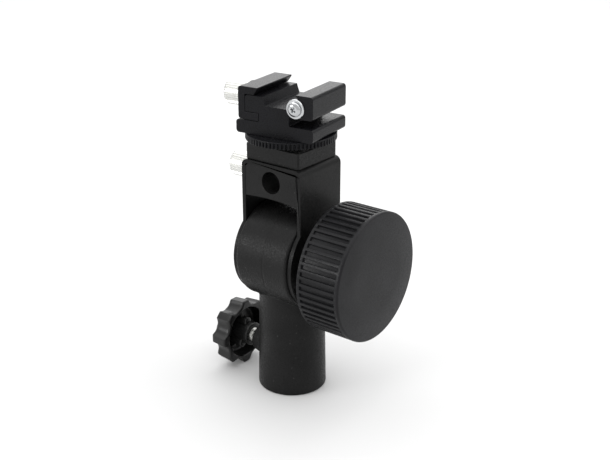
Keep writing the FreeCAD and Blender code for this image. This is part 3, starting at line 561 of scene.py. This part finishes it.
def make_yoke():
    low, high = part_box("yoke_bracket")
    thick, bend = 1.6 * MM, 2.6 * MM
    half, top, reach = high.x, high.z, (high.y - low.y) / 2
    inner = half - thick
    width = 25.4 * MM
    bolt_hole, thumb_hole, edge = 4.1 * MM, 3 * MM, 0.25 * MM
    arch = rounded([(-half, TILT_Z, 0), (-half, top, bend), (half, top, bend), (half, TILT_Z, 0),
                    (inner, TILT_Z, 0), (inner, top - thick, bend - thick),
                    (-inner, top - thick, bend - thick), (-inner, TILT_Z, 0)], 8)
    yoke = new_object("yoke_sheet", prism(arch, width))
    across = Matrix.Translation((0, 0, TILT_Z)) @ ALONG_X
    for low_x, high_x in ((-half, -inner), (inner, half)):
        combine(yoke, moved(cylinder(reach, low_x, high_x, 128), across), "UNION")
    combine(yoke, moved(cylinder(bolt_hole, -half * PAST, half * PAST, 48), across))
    thumb = Matrix.Translation((0, 0, UMBRELLA_Z)) @ ALONG_X
    combine(yoke, moved(cylinder(thumb_hole, -half * PAST, -inner * 0.9, 48), thumb))
    break_edges(yoke, edge, angle=40)
    finish_mesh(yoke)
    show(yoke, "yoke_bracket")


def make_umbrella_block():
    low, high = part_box("umbrella_block")
    rise, corner = 0.75 * MM, 1.3 * MM
    hole, thumb_hole = 4.4 * MM, 2.55 * MM
    screw_x, screw_y, screw_hole = 8.4 * MM, 7 * MM, 2.1 * MM
    head_hole, head_depth = 3.6 * MM, 4.3 * MM
    steps = 12
    arc = [Vector((high.x * (2 * step / steps - 1),
                   low.z + rise * (1 - (2 * step / steps - 1) ** 2))) for step in range(steps + 1)]
    top = [Vector((high.x, high.z - corner)), Vector((high.x - corner, high.z)),
           Vector((low.x + corner, high.z)), Vector((low.x, high.z - corner))]
    block = new_object("umbrella_clamp_block", prism(arc + top, high.y - low.y))
    along = Matrix.Translation((0, 0, UMBRELLA_Z)) @ ALONG_Y
    combine(block, moved(cylinder(hole, low.y * PAST, high.y * PAST, 96), along))
    thumb = Matrix.Translation((0, 0, UMBRELLA_Z)) @ ALONG_X
    combine(block, moved(cylinder(thumb_hole, low.x * PAST, 0, 48), thumb))
    for side in (-1, 1):
        place = Matrix.Translation((screw_x * side, screw_y * side, 0))
        combine(block, moved(cylinder(head_hole, low.z - MM, low.z + head_depth, 48), place))
        combine(block, moved(cylinder(screw_hole, low.z, high.z + MM, 32), place))
    break_edges(block, 0.45 * MM, angle=40)
    finish_mesh(block)
    show(block, "umbrella_block")


def make_stud_block():
    low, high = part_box("stud_block")
    corner, stud_radius = 0.8 * MM, 3.175 * MM
    plan = rounded([(low.x, low.y, corner), (high.x, low.y, corner), (high.x, high.y, corner),
                    (low.x, high.y, corner)], 6)
    upright = Matrix.Translation((0, 0, (low.z + high.z) / 2)) @ Matrix.Rotation(math.pi / 2, 4, "X")
    block = new_object("stud_carrier_block", moved(prism(plan, high.z - low.z), upright))
    combine(block, cylinder(stud_radius, low.z - MM, high.z + MM, 64))
    break_edges(block, 0.4 * MM, angle=40)
    finish_mesh(block)
    show(block, "stud_block")


RING_TEETH = 72


def make_lock_ring():
    low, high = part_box("lock_ring")
    radius, thick = (high.x - low.x) / 2, high.z - low.z
    collar, depth = 0.7 * MM, 0.7 * MM
    section = rounded([(STUD_HOLE, 0, 0.1 * MM), (radius, 0, 0.3 * MM), (radius, thick - collar, 0),
                       (radius, thick, 0.3 * MM), (STUD_HOLE, thick, 0.1 * MM)], 3)

    def teeth(reach, height, angle):
        """Cuts the notches between the teeth, up to the collar."""
        if reach < radius - MM:
            return reach
        phase = (angle * RING_TEETH / TAU) % 1.0
        notch = 1 - step_up(0.05, 0.3, abs(phase - 0.5))
        below = 1 - step_up(thick - collar - 0.1 * MM, thick - collar + 0.2 * MM, height)
        return reach - depth * notch * below

    around = ribbed(RING_TEETH, [0.0, 0.18, 0.26, 0.34, 0.42, 0.5, 0.58, 0.66, 0.74, 0.82])
    bm = lathe(spread(section, MM), around, closed=True, wave=teeth)
    ring = new_object("lock_ring_serrated", moved(bm, Matrix.Translation((0, 0, low.z))))
    finish_mesh(ring, sharp=40, weighted=False)
    show(ring, "lock_ring")


# ---- flash shoe ----------------------------------------------------------------

SHOE_LENGTH = 25 * MM
SHOE_EDGE = 1.2 * MM
NECK = 6.5 * MM
PLATE_TOP = 113.65 * MM
RAIL_LOW = 117.1 * MM
SHELF = 123.4 * MM
TONGUE = 12.55 * MM
JAW_SCREW_HOLE = 2.05 * MM  # radius of the holes for the jaw's screw and the stop screw


def make_shoe_base():
    low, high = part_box("shoe_base")
    half = 16.7 * MM
    lip = high.z - 0.5 * MM
    channel_floor, draft = 120.1 * MM, 1.15 * MM
    lip_x, undercut_x, channel_right, channel_left = 9.6 * MM, 11 * MM, 7.2 * MM, 4.8 * MM
    stud_bore_top, screw_end, stop_end = 115.8 * MM, 5.2 * MM, 3.7 * MM
    side = rounded([
        (-half, low.z, SHOE_EDGE), (half, low.z, SHOE_EDGE), (half, PLATE_TOP, SHOE_EDGE),
        (NECK, PLATE_TOP, 0.4 * MM), (NECK, RAIL_LOW, 0.4 * MM), (half, RAIL_LOW, SHOE_EDGE),
        (half, high.z, SHOE_EDGE), (lip_x, high.z, 0), (lip_x, lip, 0), (undercut_x, SHELF, 0.2 * MM),
        (channel_right, SHELF, 0), (channel_right - draft, channel_floor, 0.2 * MM),
        (draft - channel_left, channel_floor, 0.2 * MM), (-channel_left, SHELF, 0),
        (-TONGUE, SHELF, SHOE_EDGE), (-TONGUE, RAIL_LOW, 0.3 * MM), (-NECK, RAIL_LOW, 0.4 * MM),
        (-NECK, PLATE_TOP, 0.4 * MM), (-half, PLATE_TOP, SHOE_EDGE)], 5)
    base = new_object("shoe_base_rails", prism(side, SHOE_LENGTH))
    combine(base, cylinder(STUD_HOLE, low.z - MM, stud_bore_top, 64))
    screw = Matrix.Translation((0, 0, JAW_SCREW_Z)) @ ALONG_X
    combine(base, moved(cylinder(JAW_SCREW_HOLE, -TONGUE - MM, -screw_end, 32), screw))
    stop = Matrix.Translation((STOP_X, 0, STOP_Z)) @ ALONG_Y
    combine(base, moved(cylinder(JAW_SCREW_HOLE, -SHOE_LENGTH, -stop_end, 32), stop))
    break_edges(base, 0.3 * MM, angle=25)
    finish_mesh(base)
    base.data.transform(YAW)
    show(base, "shoe_base")


def make_shoe_jaw():
    gap, outer = 0.2 * MM, 15.7 * MM
    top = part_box("shoe_jaw")[1].z
    arm_end, wall = -NECK - gap, -12.7 * MM
    undercut_x, lip_x, screw_hole = -8.75 * MM, -7.1 * MM, 2.2 * MM
    side = rounded([
        (-outer, PLATE_TOP + gap, 1.2 * MM), (arm_end, PLATE_TOP + gap, 0.2 * MM),
        (arm_end, RAIL_LOW - gap, 0.2 * MM), (wall, RAIL_LOW - gap, 0.2 * MM),
        (wall, SHELF + gap, 0.2 * MM), (undercut_x, SHELF + gap, 0), (lip_x, top - 0.5 * MM, 0),
        (lip_x, top, 0), (-outer, top, SHOE_EDGE)], 5)
    jaw = new_object("shoe_clamp_jaw", prism(side, SHOE_LENGTH))
    screw = Matrix.Translation((0, 0, JAW_SCREW_Z)) @ ALONG_X
    combine(jaw, moved(cylinder(screw_hole, -outer * PAST, wall * 0.95, 32), screw))
    break_edges(jaw, 0.3 * MM, angle=25)
    finish_mesh(jaw)
    jaw.data.transform(YAW)
    show(jaw, "shoe_jaw")


# ---- screws --------------------------------------------------------------------

def thread(pitch, depth):
    """A thread, as a wave for lathe."""
    core = 0.5 * MM

    def cut(reach, height, angle):
        if reach < core:
            return reach
        turn = (height / pitch - angle / TAU) % 1.0
        return reach - depth * (1 - abs(2 * turn - 1))
    return cut


def make_stud(name, node, radius, pitch, place):
    """A threaded stud along X between the ends of its CAD node."""
    low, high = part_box(node)
    length = high.x - low.x
    tip = 0.5 * MM
    profile = [(0, 0), (radius, 0), (radius, length - tip), (radius - tip, length), (0, length)]
    points = spread([Vector(point) for point in profile], pitch / 8, closed=False)
    bm = lathe(points, 40, wave=thread(pitch, pitch * 0.5))
    stud = new_object(name, moved(bm, Matrix.Translation((low.x, 0, place)) @ ALONG_X))
    finish_mesh(stud, sharp=80, weighted=False)
    show(stud, node)


KNURL_TEETH = 32


def knurled_head(radius, length):
    """A straight knurled thumb screw head from its outer end at height 0."""
    depth, edge, recess = 0.3 * MM, 0.4 * MM, 0.3 * MM
    profile = open_profile([
        (0, recess, 0), (radius * 0.45, recess, 0.3 * MM), (radius * 0.55, 0, 0.3 * MM),
        (radius - 0.8 * MM, 0, 0.3 * MM), (radius, 0.8 * MM, 0.3 * MM), (radius, length - edge, 0.1 * MM),
        (radius - edge, length, 0.1 * MM), (0, length, 0)])

    def knurl(reach, height, angle):
        if reach < radius - 0.6 * MM:
            return reach
        phase = (angle * KNURL_TEETH / TAU) % 1.0
        groove = 1 - step_up(0.08, 0.3, abs(phase - 0.5))
        return reach - depth * groove

    around = ribbed(KNURL_TEETH, [0.0, 0.2, 0.3, 0.4, 0.5, 0.6, 0.7, 0.8])
    return lathe(spread(profile, MM, closed=False), around, wave=knurl)


def make_thumb_heads():
    low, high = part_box("umbrella_screw_head")
    head = knurled_head((high.z - low.z) / 2, high.x - low.x)
    place = Matrix.Translation((low.x, 0, UMBRELLA_Z)) @ ALONG_X
    piece = new_object("umbrella_thumb_head", moved(head, place))
    finish_mesh(piece, sharp=40, weighted=False)
    show(piece, "umbrella_screw_head")
    length, collar_end = 10 * MM, 17.7 * MM
    low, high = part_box("jaw_screw_head")
    head = knurled_head((high.z - low.z) / 2, length)
    place = YAW @ Matrix.Translation((-collar_end - length, 0, JAW_SCREW_Z)) @ ALONG_X
    piece = new_object("jaw_thumb_head", moved(head, place))
    finish_mesh(piece, sharp=40, weighted=False)
    show(piece, "jaw_screw_head")


def make_stop_screw():
    radius, height, shank, length = 2.75 * MM, 1.3 * MM, 2 * MM, 10.3 * MM
    cross_turn = math.radians(28)
    washer = 0.6 * MM
    face = -SHOE_LENGTH / 2
    head = open_profile([
        (0, 0, 0), (radius * 0.62, 0, 1.2 * MM), (radius, height * 0.5, 0.5 * MM),
        (radius, height, 0.1 * MM), (shank, height, 0), (shank, length - 0.5 * MM, 0),
        (shank - 0.5 * MM, length, 0), (0, length, 0)], 6)
    screw = new_object("stop_screw_cross", lathe(head, 64))
    reach, width, deep = 1.45 * MM, 0.36 * MM, 1.1 * MM
    for turn in (0, math.pi / 2):
        blade = [Vector((-reach, -MM)), Vector((reach, -MM)), Vector((reach * 0.55, deep)),
                 Vector((-reach * 0.55, deep))]
        combine(screw, moved(prism(blade, width * 2), Matrix.Rotation(turn, 4, "Z")))
    break_edges(screw, 0.06 * MM, angle=35, segments=2)
    finish_mesh(screw, sharp=45)
    screw.data.transform(YAW @ Matrix.Translation((STOP_X, face - washer - height, STOP_Z))
                         @ ALONG_Y @ Matrix.Rotation(cross_turn, 4, "Z"))
    show(screw, "stop_screw")


def make_tilt_bolt():
    low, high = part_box("tilt_bolt")
    height, radius, shank = 5 * MM, 6.4 * MM, 4 * MM
    corner_radius, corner_drop = radius * 1.02, 0.8 * MM
    length = high.x - low.x
    corners = [(radius * math.cos(TAU * side / 6), radius * math.sin(TAU * side / 6))
               for side in range(6)]
    hexagon = prism([Vector(corner) for corner in corners], height)
    upright = Matrix.Translation((0, 0, height / 2)) @ Matrix.Rotation(math.pi / 2, 4, "X")
    bolt = new_object("tilt_bolt_hexagon", moved(hexagon, upright))
    crown = [(0, 0), (radius * 0.8, 0), (corner_radius, corner_drop), (corner_radius, height),
             (0, height)]
    combine(bolt, lathe(crown, 96), "INTERSECT")
    combine(bolt, cylinder(shank, height - MM, length, 48), "UNION")
    break_edges(bolt, 0.15 * MM, angle=35, segments=2)
    finish_mesh(bolt)
    bolt.data.transform(Matrix.Translation((low.x, 0, TILT_Z)) @ ALONG_X)
    show(bolt, "tilt_bolt")


def dress_cad_nodes():
    """The CAD nodes that stay as they are get their finish."""
    for name, node in frame["nodes"].items():
        node.data.materials.clear()
        node.data.materials.append(FINISHES[SLOTS[name]])


# ---- stage ---------------------------------------------------------------------

def make_floor():
    """A plain pale floor, wide enough to run past the picture."""
    reach = 6.0
    bm = bmesh.new()
    bmesh.ops.create_grid(bm, x_segments=1, y_segments=1, size=reach)
    floor = new_object("floor", bm)
    material = bpy.data.materials.new("pale_floor")
    material.use_nodes = True
    shader = material.node_tree.nodes["Principled BSDF"]
    shader.inputs["Base Color"].default_value = (0.6, 0.6, 0.6, 1.0)
    shader.inputs["Roughness"].default_value = 0.9
    floor.data.materials.append(material)


def make_light(name, place, aim, size, power):
    """A soft box at place that points at aim."""
    lamp = bpy.data.lights.new(name, "AREA")
    lamp.shape = "RECTANGLE"
    lamp.size, lamp.size_y = size
    lamp.energy = power
    light = bpy.data.objects.new(name, lamp)
    light.location = place
    light.rotation_euler = (Vector(aim) - Vector(place)).to_track_quat("-Z", "Y").to_euler()
    bpy.context.scene.collection.objects.link(light)


def make_lights():
    middle = (0, 0, 0.07)
    make_light("overhead_light", (0.0, 0.1, 1.1), middle, (2.4, 2.4), 26)
    make_light("back_light", (-0.62, 0.8, 0.47), middle, (0.6, 0.35), 1.3)
    make_light("front_light", (-0.62, -0.88, 0.33), middle, (0.4, 0.3), 4)
    make_light("right_light", (0.9, 0.35, 0.5), middle, (0.5, 0.5), 2.5)
    world = bpy.data.worlds.new("studio")
    world.use_nodes = True
    background = world.node_tree.nodes["Background"]
    background.inputs["Color"].default_value = (1.0, 1.0, 1.0, 1.0)
    background.inputs["Strength"].default_value = 0.8
    bpy.context.scene.world = world


def make_camera():
    """The photo's camera, solved together with the sizes from the photo's outlines."""
    azimuth, elevation, distance = math.radians(37.72), math.radians(21.92), 0.42523
    aim = Vector((0, 0.0086, 0.06455))
    back = Vector((math.sin(azimuth) * math.cos(elevation), -math.cos(azimuth) * math.cos(elevation),
                   math.sin(elevation)))
    data = bpy.data.cameras.new("camera")
    data.lens = 62.33
    data.sensor_width = 36
    camera = bpy.data.objects.new("camera", data)
    camera.location = aim + back * distance
    camera.rotation_euler = (-back).to_track_quat("-Z", "Y").to_euler()
    bpy.context.scene.collection.objects.link(camera)
    bpy.context.scene.camera = camera


make_camera()
dress_cad_nodes()
make_tilt_knob()
make_socket_casting()
make_star_knob()
make_yoke()
make_umbrella_block()
make_stud_block()
make_lock_ring()
make_shoe_base()
make_shoe_jaw()
make_stud("star_screw_thread", "star_knob_screw", 3 * MM, 1.0 * MM, LOCK_Z)
make_stud("umbrella_screw_thread", "umbrella_screw_stud", 2.5 * MM, 0.8 * MM, UMBRELLA_Z)
make_thumb_heads()
make_stop_screw()
make_tilt_bolt()
make_floor()
make_lights()
bpy.context.scene.view_settings.view_transform = "Standard"
